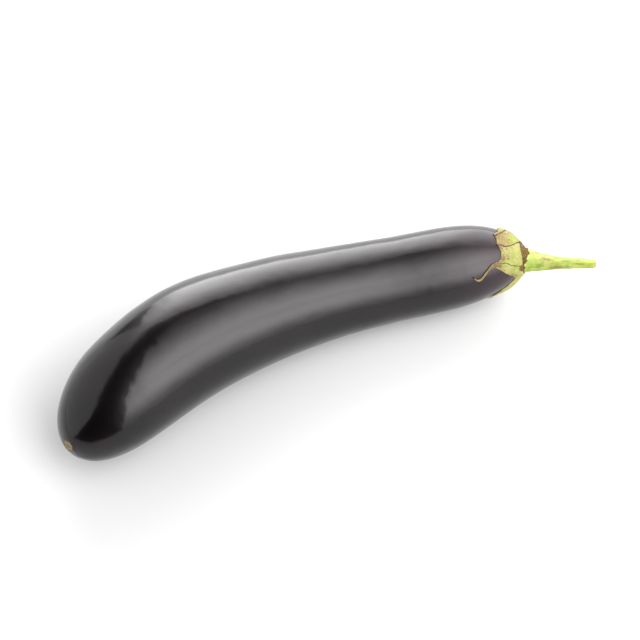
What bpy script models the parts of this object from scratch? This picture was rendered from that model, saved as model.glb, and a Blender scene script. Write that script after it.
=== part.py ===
"""A long eggplant as picked: the bent fruit lies on its side, with its calyx and its cut stem.

Run it with blender --background --python part.py, or from Blender's text editor.
Metres, +Z up. The ground is z = 0 and +X runs along the fruit towards the stem.
"""
from math import cos, hypot, pi, radians, sin

import bmesh
import bpy
from mathutils import Vector

# ---------------------------------------------------------------- the fruit's sizes
FRUIT_LENGTH = 0.2448          # along the middle line, from the blossom end to the crown
BELLY_RADIUS = 0.0270          # at the fattest place
BELLY_AT = 0.0695              # distance of the fattest place from the blossom end
NECK_RADIUS = 0.0203           # at the neck
SHOULDER_LENGTH = 0.0578       # from the neck, where the shoulder starts to round off, to the crown
BLOSSOM_FULLNESS = 2.85        # 2 is an ellipse, more is blunter
SHOULDER_FULLNESS = 3.4

# The middle line seen from above: the bend is strongest at the blossom end and fades out.
BLOSSOM_HEADING = radians(47.0)
NECK_HEADING = radians(-9.7)
BEND_FADE = 2.6
CROWN_TURN = radians(-20.0)    # the last stretch turns a little towards the stem
CROWN_TURN_LENGTH = 0.0320

# The middle line seen from the side.
BELLY_FLAT = 0.0006            # how far the resting spot is pressed in under the belly
NECK_FLAT = 0.0002             # and under the neck, where it runs out
BLOSSOM_DROP = 0.0019          # how much lower the middle line ends than it runs in the belly
CROWN_RISE = 0.0009            # how much higher it ends than it runs in the neck

# ---------------------------------------------------------------- the calyx's sizes
CALYX_THICKNESS = 0.0010
CALYX_LAP = 0.0005             # the sheet starts this far inside the stem's bore
CALYX_TURN = radians(30.0)     # turns the whole calyx, from straight up towards -Y
# The edge of the calyx: (angle round the fruit, distance along the skin from the crown).
CALYX_EDGE = (
    (radians(-51.0), 0.0246),      # lobe tip
    (radians(-30.0), 0.0230),
    (radians(-12.0), 0.0210),      # notch
    (radians(0.0), 0.0230),
    (radians(6.0), 0.0252),        # lobe tip, with the tail
    (radians(13.0), 0.0215),
    (radians(25.0), 0.0175),
    (radians(38.0), 0.0125),       # notch
    (radians(60.0), 0.0180),
    (radians(76.0), 0.0225),
    (radians(87.0), 0.0280),       # lobe tip
    (radians(98.0), 0.0220),
    (radians(120.0), 0.0150),      # notch
    (radians(142.0), 0.0205),
    (radians(157.0), 0.0262),      # lobe tip
    (radians(172.0), 0.0210),
    (radians(193.0), 0.0160),      # notch
    (radians(216.0), 0.0210),
    (radians(232.0), 0.0270),      # lobe tip
    (radians(246.0), 0.0215),
    (radians(268.0), 0.0165),      # notch
    (radians(292.0), 0.0215),
)
TAIL_RADIUS = 0.00085          # the withered tail that runs on from one lobe
TAIL_TIP_RADIUS = 0.00034
# Its route: (angle from the calyx's turn, distance along the skin, lift off the skin).
TAIL_ROUTE = (
    (radians(5.0), 0.0212, 0.0001),
    (radians(5.0), 0.0252, 0.0002),
    (radians(10.0), 0.0288, 0.0001),
    (radians(17.3), 0.0316, 0.0001),
    (radians(22.6), 0.0338, 0.0004),
    (radians(24.0), 0.0354, 0.0010),
    (radians(21.5), 0.0374, 0.0022),
)

# ---------------------------------------------------------------- the stem's sizes
STEM_LENGTH = 0.0340           # from the crown to the cut tip
STEM_ROOT_RADIUS = 0.0042
STEM_TIP_RADIUS = 0.0016
STEM_FLARE = 0.0018            # how much wider the root grows where it meets the crown
STEM_FLARE_LENGTH = 0.0180
STEM_HEADING = radians(-28.3)
STEM_CLIMB = radians(7.0)      # the stem's slope past its bend
STEM_BEND_LENGTH = 0.0170      # the stretch that takes the stem from the crown's way to its own
STEM_ASIDE = 0.0011            # the stem grows a little off the middle of the crown
STEM_ABOVE = 0.0015
STEM_MARGIN = 0.0010           # the sweep starts where the crown is this much wider, then is cut

CLEARANCE = 0.0003             # gap between touching pieces

# ---------------------------------------------------------------- what follows from them
NECK_AT = FRUIT_LENGTH - SHOULDER_LENGTH
BORE_RADIUS = STEM_ROOT_RADIUS + STEM_FLARE + CLEARANCE
STEM_OFFSET = hypot(STEM_ASIDE, STEM_ABOVE)

# ---------------------------------------------------------------- fineness
FRUIT_RINGS = 52
FRUIT_SIDES = 40
CALYX_AROUND = 100
CALYX_ALONG = 7
TAIL_STEPS = 4
TAIL_SIDES = 8
STEM_RINGS = 22
STEM_SIDES = 16
SPINE_STEPS = 400              # steps that add up the middle line
SKIN_STEPS = 1600              # steps that add up the way along the skin
STEM_STEPS = 88
WELD_DISTANCE = 0.00001

# ---------------------------------------------------------------- colours and roughness
FINISHES = {
    "fruit": ((0.016, 0.008, 0.014, 1.0), 0.18),
    "calyx": ((0.50, 0.52, 0.16, 1.0), 0.60),
    "stem": ((0.46, 0.62, 0.14, 1.0), 0.55),
}


# ---------------------------------------------------------------- the rules of the fruit's shape
def ease(share):
    """Rise from 0 to 1 with level ends."""
    return share * share * (3.0 - 2.0 * share)


def fruit_radius(along):
    """Radius of the fruit at a distance along its middle line."""
    if along < BELLY_AT:
        far = (BELLY_AT - along) / BELLY_AT
        return BELLY_RADIUS * max(0.0, 1.0 - far ** BLOSSOM_FULLNESS) ** 0.5
    if along < NECK_AT:
        share = ease((along - BELLY_AT) / (NECK_AT - BELLY_AT))
        return BELLY_RADIUS + (NECK_RADIUS - BELLY_RADIUS) * share
    far = (along - NECK_AT) / (FRUIT_LENGTH - NECK_AT)
    return NECK_RADIUS * max(0.0, 1.0 - far ** SHOULDER_FULLNESS) ** 0.5


def spine_height(along):
    """Height of the middle line: the underside follows the ground from belly to neck."""
    belly = BELLY_RADIUS - BELLY_FLAT
    neck = NECK_RADIUS - NECK_FLAT
    if along < BELLY_AT:
        return belly - BLOSSOM_DROP * (1.0 - ease(along / BELLY_AT))
    if along < NECK_AT:
        return belly + (neck - belly) * ease((along - BELLY_AT) / (NECK_AT - BELLY_AT))
    return neck + CROWN_RISE * ease((along - NECK_AT) / (FRUIT_LENGTH - NECK_AT))


def spine_heading(along):
    """Which way the middle line points, seen from above."""
    left = FRUIT_LENGTH - along
    heading = NECK_HEADING
    heading += (BLOSSOM_HEADING - NECK_HEADING) * (left / FRUIT_LENGTH) ** BEND_FADE
    turned = max(0.0, 1.0 - left / CROWN_TURN_LENGTH)
    return heading + CROWN_TURN * ease(turned)


def fruit_slope(along):
    """How fast the fruit narrows at a distance along its middle line."""
    step = FRUIT_LENGTH / SPINE_STEPS
    return (fruit_radius(along - step) - fruit_radius(along + step)) / (2.0 * step)


def add_up_spine():
    """Add up the middle line in small steps, from the blossom end to the crown."""
    step = FRUIT_LENGTH / SPINE_STEPS
    point = Vector((0.0, 0.0, spine_height(0.0)))
    line = [point.copy()]
    for i in range(SPINE_STEPS):
        heading = spine_heading((i + 0.5) * step)
        point.x += step * cos(heading)
        point.y += step * sin(heading)
        point.z = spine_height((i + 1) * step)
        line.append(point.copy())
    return line


SPINE = add_up_spine()


def point_on(line, share):
    """Point of a line of evenly spaced points, at a share of its length."""
    place = min(max(share, 0.0), 1.0) * (len(line) - 1)
    low = min(int(place), len(line) - 2)
    return line[low].lerp(line[low + 1], place - low)


def spine_point(along):
    """Point of the middle line at a distance from the blossom end."""
    return point_on(SPINE, along / FRUIT_LENGTH)


def spine_tangent(along):
    """Direction of the middle line, towards the crown."""
    step = FRUIT_LENGTH / SPINE_STEPS
    return (spine_point(along + step) - spine_point(along - step)).normalized()


def add_up_skin():
    """Pairs of (distance along the skin from the crown, distance along the middle line)."""
    step = FRUIT_LENGTH / SKIN_STEPS
    along = FRUIT_LENGTH
    reach = 0.0
    table = [(reach, along)]
    while along > BELLY_AT:
        reach += hypot(step, fruit_radius(along - step) - fruit_radius(along))
        along -= step
        table.append((reach, along))
    return table


SKIN = add_up_skin()


def along_at(reach):
    """Distance along the middle line of the skin that is this far from the crown."""
    for (low, near), (high, far) in zip(SKIN, SKIN[1:]):
        if reach <= high:
            return near + (far - near) * (reach - low) / (high - low)
    return SKIN[-1][1]


def skin_point(reach, angle, height):
    """Point over the skin: distance from the crown, angle from straight up towards -Y."""
    along = along_at(reach)
    tangent = spine_tangent(along)
    side = tangent.cross(Vector((0.0, 0.0, 1.0))).normalized()
    spoke = side.cross(tangent) * cos(angle) + side * sin(angle)
    normal = (spoke + tangent * fruit_slope(along)).normalized()
    return spine_point(along) + spoke * fruit_radius(along) + normal * height


# ---------------------------------------------------------------- building helpers
def clear_scene():
    for obj in list(bpy.data.objects):
        bpy.data.objects.remove(obj, do_unlink=True)


def new_collection(name):
    collection = bpy.data.collections.new(name)
    bpy.context.scene.collection.children.link(collection)
    return collection


def paint(obj):
    """Give a piece its own material, and shade its round faces smooth."""
    colour, roughness = FINISHES[obj.name]
    material = bpy.data.materials.new(obj.name)
    material.use_nodes = True
    shader = material.node_tree.nodes["Principled BSDF"]
    shader.inputs["Base Color"].default_value = colour
    shader.inputs["Roughness"].default_value = roughness
    shader.inputs["Metallic"].default_value = 0.0
    material.diffuse_color = colour
    obj.data.materials.append(material)
    obj.data.shade_smooth()


def weld(mesh):
    bm = bmesh.new()
    bm.from_mesh(mesh)
    bmesh.ops.remove_doubles(bm, verts=bm.verts, dist=WELD_DISTANCE)
    bmesh.ops.recalc_face_normals(bm, faces=bm.faces)
    bm.to_mesh(mesh)
    bm.free()


def sweep(name, points, radii, sides, collection):
    """A closed round body: a bevelled poly curve turned into a mesh, its caps welded."""
    curve = bpy.data.curves.new(name + "_line", "CURVE")
    curve.dimensions = "3D"
    curve.twist_mode = "Z_UP"
    curve.bevel_depth = 1.0
    curve.bevel_resolution = (sides - 4) // 2
    curve.use_fill_caps = True
    spline = curve.splines.new("POLY")
    spline.points.add(len(points) - 1)
    for knot, point, radius in zip(spline.points, points, radii):
        knot.co = (*point, 1.0)
        knot.radius = radius
    line = bpy.data.objects.new(name + "_line", curve)
    collection.objects.link(line)
    bpy.context.view_layer.update()
    depsgraph = bpy.context.evaluated_depsgraph_get()
    mesh = bpy.data.meshes.new_from_object(line.evaluated_get(depsgraph))
    weld(mesh)
    obj = bpy.data.objects.new(name, mesh)
    obj.matrix_world = line.matrix_world
    bpy.data.objects.remove(line, do_unlink=True)
    collection.objects.link(obj)
    return obj


def boolean(obj, other, operation):
    """Cut or join with a guide that stays out of the model."""
    modifier = obj.modifiers.new(operation.lower(), "BOOLEAN")
    modifier.operation = operation
    modifier.solver = "EXACT"
    modifier.object = other
    other.hide_render = True
    other.display_type = "WIRE"


def smooth_through(knots, steps):
    """A smooth line through a few points (Catmull-Rom)."""
    padded = [knots[0] * 2 - knots[1], *knots, knots[-1] * 2 - knots[-2]]
    line = []
    for a, b, c, d in zip(padded, padded[1:], padded[2:], padded[3:]):
        for k in range(steps):
            t = k / steps
            square = (2 * a - 5 * b + 4 * c - d) * t ** 2
            cube = (3 * b - a - 3 * c + d) * t ** 3
            line.append((2 * b + (c - a) * t + square + cube) / 2)
    line.append(knots[-1])
    return line


# ---------------------------------------------------------------- the fruit
def fruit_body(name, grow, collection):
    """The fruit's sweep, grown all over by a distance. Rings crowd at the two round ends."""
    points = []
    radii = []
    for i in range(FRUIT_RINGS):
        along = FRUIT_LENGTH * 0.5 * (1.0 - cos(pi * (i + 0.5) / FRUIT_RINGS))
        slope = fruit_slope(along)
        outwards = grow / hypot(1.0, slope)
        points.append(spine_point(along) + spine_tangent(along) * outwards * slope)
        radii.append(fruit_radius(along) + outwards)
    return sweep(name, points, radii, FRUIT_SIDES, collection)


def make_ground(collection):
    """A block up to z = 0, under the whole fruit."""
    bpy.ops.mesh.primitive_cube_add(size=1.0)
    ground = bpy.context.active_object
    ground.name = "ground_cutter"
    ground.users_collection[0].objects.unlink(ground)
    collection.objects.link(ground)
    middle = spine_point(FRUIT_LENGTH * 0.5)
    depth = 2.0 * BELLY_RADIUS
    ground.scale = (2.0 * FRUIT_LENGTH, FRUIT_LENGTH, depth)
    ground.location = (middle.x, middle.y, -0.5 * depth)
    return ground


def make_fruit(parts, cutters):
    fruit = fruit_body("fruit", 0.0, parts)
    boolean(fruit, make_ground(cutters), "DIFFERENCE")
    return fruit


# ---------------------------------------------------------------- the stem
def bury_depth():
    """How far below the crown's top the fruit is wider than the stem's bore."""
    for _, along in SKIN:
        if fruit_radius(along) > BORE_RADIUS + STEM_OFFSET + STEM_MARGIN:
            return FRUIT_LENGTH - along
    return FRUIT_LENGTH - BELLY_AT


STEM_BURY = bury_depth()


def stem_line():
    """The stem's middle line: it leaves the crown straight and bends to its own heading."""
    tangent = spine_tangent(FRUIT_LENGTH)
    aside = Vector((0.0, 0.0, 1.0)).cross(tangent).normalized()
    start = spine_point(FRUIT_LENGTH) - tangent * STEM_BURY
    start += aside * STEM_ASIDE + tangent.cross(aside) * STEM_ABOVE
    crown_heading = spine_heading(FRUIT_LENGTH)
    step = (STEM_LENGTH + STEM_BURY) / STEM_STEPS
    line = [start]
    for i in range(STEM_STEPS):
        past = (i + 0.5) * step - STEM_BURY
        share = ease(min(max(past / STEM_BEND_LENGTH, 0.0), 1.0))
        heading = crown_heading + (STEM_HEADING - crown_heading) * share
        climb = STEM_CLIMB * share
        way = Vector((cos(heading) * cos(climb), sin(heading) * cos(climb), sin(climb)))
        line.append(line[-1] + way * step)
    return line


def stem_radius(along):
    """Radius of the stem at a distance from the crown: a taper, a flared root, a round tip."""
    share = min(max(along / STEM_LENGTH, 0.0), 1.0)
    radius = STEM_ROOT_RADIUS + (STEM_TIP_RADIUS - STEM_ROOT_RADIUS) * share
    flare = max(0.0, 1.0 - max(along, 0.0) / STEM_FLARE_LENGTH)
    radius += STEM_FLARE * flare * flare
    past_rounding = max(0.0, 1.0 - (STEM_LENGTH - along) / STEM_TIP_RADIUS)
    return radius * max(0.0, 1.0 - past_rounding ** 2) ** 0.5


def stem_body(name, grow, collection):
    """The stem's sweep, grown all round by a distance. Rings crowd at the tip."""
    line = stem_line()
    total = STEM_LENGTH + STEM_BURY
    points = [line[0]]
    radii = [stem_radius(-STEM_BURY) + grow]
    for i in range(1, STEM_RINGS):
        share = sin(0.5 * pi * (i + 0.5) / STEM_RINGS)
        points.append(point_on(line, share))
        radii.append(stem_radius(share * total - STEM_BURY) + grow)
    return sweep(name, points, radii, STEM_SIDES, collection)


def make_stem(parts, cutters):
    stem = stem_body("stem", 0.0, parts)
    seat = fruit_body("stem_seat_cutter", CLEARANCE, cutters)
    boolean(stem, seat, "DIFFERENCE")
    return stem


# ---------------------------------------------------------------- the calyx
def calyx_reach(angle):
    """How far the calyx reaches along the skin at an angle, straight between the edge's points."""
    edge = CALYX_EDGE + ((CALYX_EDGE[0][0] + 2.0 * pi, CALYX_EDGE[0][1]),)
    angle = edge[0][0] + (angle - edge[0][0]) % (2.0 * pi)
    for (low, near), (high, far) in zip(edge, edge[1:]):
        if angle <= high:
            return near + (far - near) * (angle - low) / (high - low)
    return edge[-1][1]


def calyx_sheet(collection):
    """A grid wrapped over the shoulder, from inside the stem's bore out to the lobed edge."""
    start = BORE_RADIUS - STEM_OFFSET - CALYX_LAP
    bm = bmesh.new()
    bmesh.ops.create_grid(bm, x_segments=CALYX_AROUND, y_segments=CALYX_ALONG, size=0.5)
    for vert in bm.verts:
        angle = (vert.co.x + 0.5) * 2.0 * pi
        reach = start + (calyx_reach(angle) - start) * (vert.co.y + 0.5)
        vert.co = skin_point(reach, CALYX_TURN + angle, CLEARANCE)
    mesh = bpy.data.meshes.new("calyx")
    bm.to_mesh(mesh)
    bm.free()
    weld(mesh)
    sheet = bpy.data.objects.new("calyx", mesh)
    collection.objects.link(sheet)
    return sheet


def make_tail(collection):
    """The tail lies on the skin and lifts off it at its tip."""
    lying = CLEARANCE + TAIL_RADIUS
    knots = [skin_point(reach, CALYX_TURN + angle, lying + lift)
             for angle, reach, lift in TAIL_ROUTE]
    points = smooth_through(knots, TAIL_STEPS)
    last = len(points) - 1
    taper = (TAIL_TIP_RADIUS - TAIL_RADIUS) / last
    radii = [TAIL_RADIUS + taper * i for i in range(last + 1)]
    return sweep("tail_guide", points, radii, TAIL_SIDES, collection)


def make_calyx(parts, cutters):
    calyx = calyx_sheet(parts)
    wall = calyx.modifiers.new("thickness", "SOLIDIFY")
    wall.thickness = CALYX_THICKNESS
    wall.offset = 1.0
    boolean(calyx, make_tail(cutters), "UNION")
    boolean(calyx, stem_body("calyx_bore_cutter", CLEARANCE, cutters), "DIFFERENCE")
    return calyx


# ---------------------------------------------------------------- the whole
def centre_on_origin(pieces, guides):
    """Parent everything to one empty and put the middle of the box over the origin."""
    root = bpy.data.objects.new("eggplant_origin", None)
    bpy.context.scene.collection.objects.link(root)
    for obj in (*pieces, *guides):
        obj.parent = root
    bpy.context.view_layer.update()
    depsgraph = bpy.context.evaluated_depsgraph_get()
    corners = []
    for piece in pieces:
        evaluated = piece.evaluated_get(depsgraph)
        corners += [evaluated.matrix_world @ vert.co for vert in evaluated.data.vertices]
    for axis in (0, 1):
        low = min(corner[axis] for corner in corners)
        high = max(corner[axis] for corner in corners)
        root.location[axis] = -0.5 * (low + high)
    bpy.context.view_layer.update()


def build():
    clear_scene()
    parts = new_collection("eggplant")
    cutters = new_collection("cutters")
    pieces = [make_fruit(parts, cutters), make_calyx(parts, cutters), make_stem(parts, cutters)]
    for piece in pieces:
        paint(piece)
    centre_on_origin(pieces, list(cutters.objects))


build()
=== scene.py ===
# %% [markdown]
# # A long eggplant, with its calyx and cut stem
# The fruit was grown as one piece: a bent, glossy, nearly black body, a leathery green cap
# called the calyx that hugs its shoulder, and the woody stem that the knife went through.
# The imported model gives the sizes. Each piece is made again here in fine detail, in the same
# place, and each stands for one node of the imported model.

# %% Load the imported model
from math import cos, pi, radians, sin

import bmesh
import bpy
import numpy as np
from mathutils import Matrix, Vector, noise


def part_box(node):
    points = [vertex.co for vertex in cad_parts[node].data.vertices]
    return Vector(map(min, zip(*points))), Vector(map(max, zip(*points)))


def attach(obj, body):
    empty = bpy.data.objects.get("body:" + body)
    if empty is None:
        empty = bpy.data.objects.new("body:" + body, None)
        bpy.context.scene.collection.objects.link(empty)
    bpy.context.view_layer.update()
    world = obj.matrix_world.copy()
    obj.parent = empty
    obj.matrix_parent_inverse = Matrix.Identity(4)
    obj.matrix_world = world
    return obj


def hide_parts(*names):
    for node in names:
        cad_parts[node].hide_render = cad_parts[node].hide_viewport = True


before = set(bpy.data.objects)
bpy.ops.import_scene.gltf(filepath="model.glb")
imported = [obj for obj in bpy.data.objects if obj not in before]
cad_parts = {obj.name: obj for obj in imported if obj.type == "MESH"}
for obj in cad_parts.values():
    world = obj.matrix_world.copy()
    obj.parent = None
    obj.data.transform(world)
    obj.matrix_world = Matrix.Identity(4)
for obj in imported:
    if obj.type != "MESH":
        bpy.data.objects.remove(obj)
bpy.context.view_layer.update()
MM = 0.001


def in_mm(corners):
    return [[round(float(value) / MM, 1) for value in corner] for corner in corners]


# %% [markdown]
# ## The rule of the fruit
# A long eggplant is simple to describe. A middle line bends most near the blossom end, and a
# radius swells to the belly, eases down to the neck and rounds off at both ends. Two short
# functions hold all of it, so the fruit, the calyx that wraps it and the stem that leaves it
# all come from the same few sizes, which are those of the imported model.

# %% Sizes of the fruit and its middle line
FRUIT_LENGTH = 244.8 * MM
BELLY_RADIUS = 27.0 * MM
BELLY_AT = 69.5 * MM
NECK_RADIUS = 20.3 * MM
NECK_AT = FRUIT_LENGTH - 57.8 * MM
BLOSSOM_FULLNESS = 2.85
SHOULDER_FULLNESS = 3.4
BLOSSOM_HEADING = radians(47.0)
NECK_HEADING = radians(-9.7)
BEND_FADE = 2.6
CROWN_TURN = radians(-20.0)
CROWN_TURN_LENGTH = 32.0 * MM
BELLY_HEIGHT = BELLY_RADIUS - 0.6 * MM
NECK_HEIGHT = NECK_RADIUS - 0.2 * MM
BLOSSOM_DROP = 1.9 * MM
CROWN_RISE = 0.9 * MM


def ease(share):
    """Rises from 0 to 1 with level ends, and stays there."""
    share = np.clip(share, 0.0, 1.0)
    return share * share * (3.0 - 2.0 * share)


def fruit_radius(along):
    """Radius of the fruit at distances along its middle line, from the blossom end."""
    before = np.clip((BELLY_AT - along) / BELLY_AT, 0.0, 1.0)
    after = np.clip((along - NECK_AT) / (FRUIT_LENGTH - NECK_AT), 0.0, 1.0)
    middle = ease((along - BELLY_AT) / (NECK_AT - BELLY_AT))
    radius = BELLY_RADIUS + (NECK_RADIUS - BELLY_RADIUS) * middle
    radius = radius * np.sqrt(1.0 - before ** BLOSSOM_FULLNESS)
    return radius * np.sqrt(1.0 - after ** SHOULDER_FULLNESS)


def middle_height(along):
    """Height of the middle line: the underside follows the ground from belly to neck."""
    height = BELLY_HEIGHT - BLOSSOM_DROP * (1.0 - ease(along / BELLY_AT))
    height += (NECK_HEIGHT - BELLY_HEIGHT) * ease((along - BELLY_AT) / (NECK_AT - BELLY_AT))
    return height + CROWN_RISE * ease((along - NECK_AT) / (FRUIT_LENGTH - NECK_AT))


def heading(along):
    """Which way the middle line points, seen from above."""
    left = FRUIT_LENGTH - along
    turn = (BLOSSOM_HEADING - NECK_HEADING) * (left / FRUIT_LENGTH) ** BEND_FADE
    return NECK_HEADING + turn + CROWN_TURN * ease(1.0 - left / CROWN_TURN_LENGTH)


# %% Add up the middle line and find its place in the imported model
STATIONS = np.linspace(0.0, FRUIT_LENGTH, 801)
STEP = STATIONS[1]


def add_up_middle_line():
    """Points of the middle line at the stations, each a small step on from the last."""
    ways = heading(STATIONS[:-1] + 0.5 * STEP)
    line = np.zeros((len(STATIONS), 3))
    line[1:, 0] = np.cumsum(np.cos(ways)) * STEP
    line[1:, 1] = np.cumsum(np.sin(ways)) * STEP
    line[:, 2] = middle_height(STATIONS)
    return line


MIDDLE = add_up_middle_line()


def middle_at(along):
    """Points of the middle line at the given distances."""
    return np.stack([np.interp(along, STATIONS, MIDDLE[:, axis]) for axis in range(3)], axis=-1)


def unit(vectors):
    """The same directions, each made one long."""
    return vectors / np.linalg.norm(vectors, axis=-1, keepdims=True)


def directions_at(along):
    """(towards the crown, sideways towards -Y, upwards) along the middle line."""
    along = np.asarray(along, dtype=float)
    forward = unit(middle_at(along + STEP) - middle_at(along - STEP))
    side = unit(np.cross(forward, [0.0, 0.0, 1.0]))
    return forward, side, np.cross(side, forward)


def skin_at(along, angle, height=0.0):
    """Points over the skin: angle is from straight up towards -Y, height is off the skin."""
    forward, side, up = directions_at(along)
    spoke = up * np.cos(angle)[..., None] + side * np.sin(angle)[..., None]
    narrowing = (fruit_radius(along - STEP) - fruit_radius(along + STEP)) / (2.0 * STEP)
    outwards = unit(spoke + forward * narrowing[..., None])
    height = np.broadcast_to(height, np.shape(along))
    return middle_at(along) + spoke * fruit_radius(along)[..., None] + outwards * height[..., None]


def place_of_fruit():
    """How far the rule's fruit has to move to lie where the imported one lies."""
    along, angle = np.meshgrid(STATIONS[1:-1:4], np.linspace(0.0, 2.0 * pi, 121))
    skin = skin_at(along, angle).reshape(-1, 3)
    low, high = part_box("fruit")
    shift = 0.5 * (np.array(low) + np.array(high)) - 0.5 * (skin.min(0) + skin.max(0))
    return np.array([shift[0], shift[1], 0.0])


MIDDLE += place_of_fruit()
print("blossom end at", np.round(MIDDLE[0] / MM, 2), "crown at", np.round(MIDDLE[-1] / MM, 2))

# %% [markdown]
# ## Finishes: a few helpers for node materials
# Every finish is built from nodes, with no pictures. Patterns read the object's own
# coordinates, so their size is in metres, and masks such as "how near the rim of the calyx"
# are stored on the points of the mesh and read back by name. A small helper adds a node and
# wires it in one call, which keeps each material short enough to read.

# %% Helpers for materials


class Finish:
    """A material under construction: add nodes, mix colours, then hand over the result."""

    def __init__(self, name):
        self.material = bpy.data.materials.new(name)
        self.material.use_nodes = True
        self.tree = self.material.node_tree
        self.shader = self.tree.nodes["Principled BSDF"]
        self.coordinates = self.tree.nodes.new("ShaderNodeTexCoord").outputs["Object"]

    def wire(self, socket, value):
        """Joins a node's output to a socket, or sets a plain value on it."""
        if isinstance(value, bpy.types.NodeSocket):
            self.tree.links.new(value, socket)
        elif isinstance(value, tuple) and len(value) == 3 and socket.type == "RGBA":
            socket.default_value = (*value, 1.0)
        else:
            socket.default_value = value

    def surface(self, **values):
        """Sets or wires sockets of the surface shader, named with _ for spaces."""
        for name, value in values.items():
            self.wire(self.shader.inputs[name.replace("_", " ")], value)

    def mask(self, name):
        """A number stored on the mesh's points."""
        node = self.tree.nodes.new("ShaderNodeAttribute")
        node.attribute_name = name
        return node.outputs["Fac"]

    def distance(self):
        """How far a point lies from the object's own origin."""
        node = self.tree.nodes.new("ShaderNodeVectorMath")
        node.operation = "LENGTH"
        self.wire(node.inputs[0], self.coordinates)
        return node.outputs["Value"]

    def grain(self, size, detail=3.0, roughness=0.55):
        """Soft noise from 0 to 1 with patches about size across."""
        node = self.tree.nodes.new("ShaderNodeTexNoise")
        self.wire(node.inputs["Vector"], self.coordinates)
        self.wire(node.inputs["Scale"], 1.0 / size)
        self.wire(node.inputs["Detail"], detail)
        self.wire(node.inputs["Roughness"], roughness)
        return node.outputs["Fac"]

    def dots(self, size):
        """Distance to the nearest of many scattered dots, in units of their spacing."""
        node = self.tree.nodes.new("ShaderNodeTexVoronoi")
        self.wire(node.inputs["Vector"], self.coordinates)
        self.wire(node.inputs["Scale"], 1.0 / size)
        return node.outputs["Distance"]

    def maths(self, operation, first, second=0.0):
        node = self.tree.nodes.new("ShaderNodeMath")
        node.operation = operation
        self.wire(node.inputs[0], first)
        self.wire(node.inputs[1], second)
        return node.outputs[0]

    def between(self, value, low, high, out_low=0.0, out_high=1.0):
        """Maps low..high to out_low..out_high with a soft start and end."""
        node = self.tree.nodes.new("ShaderNodeMapRange")
        node.interpolation_type = "SMOOTHSTEP"
        for name, number in (("From Min", low), ("From Max", high),
                             ("To Min", out_low), ("To Max", out_high)):
            self.wire(node.inputs[name], number)
        self.wire(node.inputs["Value"], value)
        return node.outputs["Result"]

    def mix(self, share, first, second):
        """A colour from first (share 0) to second (share 1)."""
        node = self.tree.nodes.new("ShaderNodeMix")
        node.data_type = "RGBA"
        self.wire(node.inputs[0], share)
        self.wire(node.inputs[6], first)
        self.wire(node.inputs[7], second)
        return node.outputs[2]

    def bump(self, height, depth, below=None):
        """Fine relief, depth deep where height goes from 0 to 1."""
        node = self.tree.nodes.new("ShaderNodeBump")
        self.wire(node.inputs["Height"], height)
        self.wire(node.inputs["Distance"], depth)
        if below is not None:
            self.wire(node.inputs["Normal"], below)
        return node.outputs["Normal"]

    def relief(self, layers):
        """Layers of bump: (size of the grain, its detail, its roughness, depth) for each."""
        normal = None
        for size, detail, roughness, depth in layers:
            normal = self.bump(self.grain(size, detail, roughness), depth, normal)
        return normal

    def frayed(self, name, noise_value, amount):
        """A stored mask, raised and lowered by noise so that its border turns ragged."""
        unrest = self.between(noise_value, 0.2, 0.8, -amount, amount)
        return self.maths("ADD", self.mask(name), unrest)

    def cover(self, colour, paint, mask, low, high, most=1.0):
        """Lays paint over a colour: none of it where mask is low, most of it where high."""
        return self.mix(self.between(mask, low, high, 0.0, most), colour, paint)

    def flecks(self, size, strength, patch, low, high):
        """Small dots, which show only where broad noise with the given patches is high."""
        dots = self.between(self.dots(size), 0.12, 0.26, strength, 0.0)
        return self.maths("MULTIPLY", dots, self.between(self.grain(patch), low, high))


# %% [markdown]
# ## The skin
# Eggplant skin is a thin waxy film over a purple so deep that it looks black. The body
# colour is very dark, and nearly all the light comes off the wax, so the finish is a sharp
# clear coat over a softer gloss. Where sun could not reach, next to the calyx, the purple
# pales to a brownish plum. The blossom left a small corky scar at the other end.

# %% The skin's finish
SKIN_DARK = (0.0012, 0.0009, 0.0011)
SKIN_PLUM = (0.0034, 0.0019, 0.0027)
SKIN_PALE = (0.0215, 0.0110, 0.0160)
SCAR_TAN = (0.420, 0.300, 0.130)
SCAR_BROWN = (0.120, 0.075, 0.030)
# Layers of relief: (size of the grain, its detail, its roughness, depth).
SKIN_RELIEF = (
    (0.60 * MM, 2.0, 0.55, 0.011 * MM),
    (4.0 * MM, 2.0, 0.55, 0.045 * MM),
    (11.0 * MM, 1.0, 0.55, 0.200 * MM),
)


def skin_finish():
    finish = Finish("glossy_aubergine_skin")
    colour = finish.cover(SKIN_DARK, SKIN_PLUM, finish.grain(18 * MM, 2.0), 0.35, 0.70)
    pale = finish.maths("MULTIPLY", finish.mask("plum"),
                        finish.between(finish.grain(7 * MM, 4.0), 0.25, 0.75, 0.65, 1.0))
    colour = finish.mix(pale, colour, SKIN_PALE)
    corky = finish.cover(SCAR_BROWN, SCAR_TAN, finish.grain(0.9 * MM), 0.42, 0.62)
    heart = finish.maths("MULTIPLY", finish.mask("scar_heart"), 0.55)
    corky = finish.mix(heart, corky, SCAR_BROWN)
    scar = finish.mask("scar")
    waxy = finish.relief(SKIN_RELIEF)
    finish.surface(
        Base_Color=finish.mix(scar, colour, corky),
        Roughness=finish.between(scar, 0.0, 1.0, 0.26, 0.85),
        Normal=waxy,
        Coat_Normal=waxy,
        Specular_IOR_Level=0.20,
        Specular_Tint=(1.0, 0.93, 0.95),
        Coat_Weight=0.40,
        Coat_Roughness=0.09,
    )
    return finish.material


skin_material = skin_finish()
print("finish made:", skin_material.name)

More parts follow.
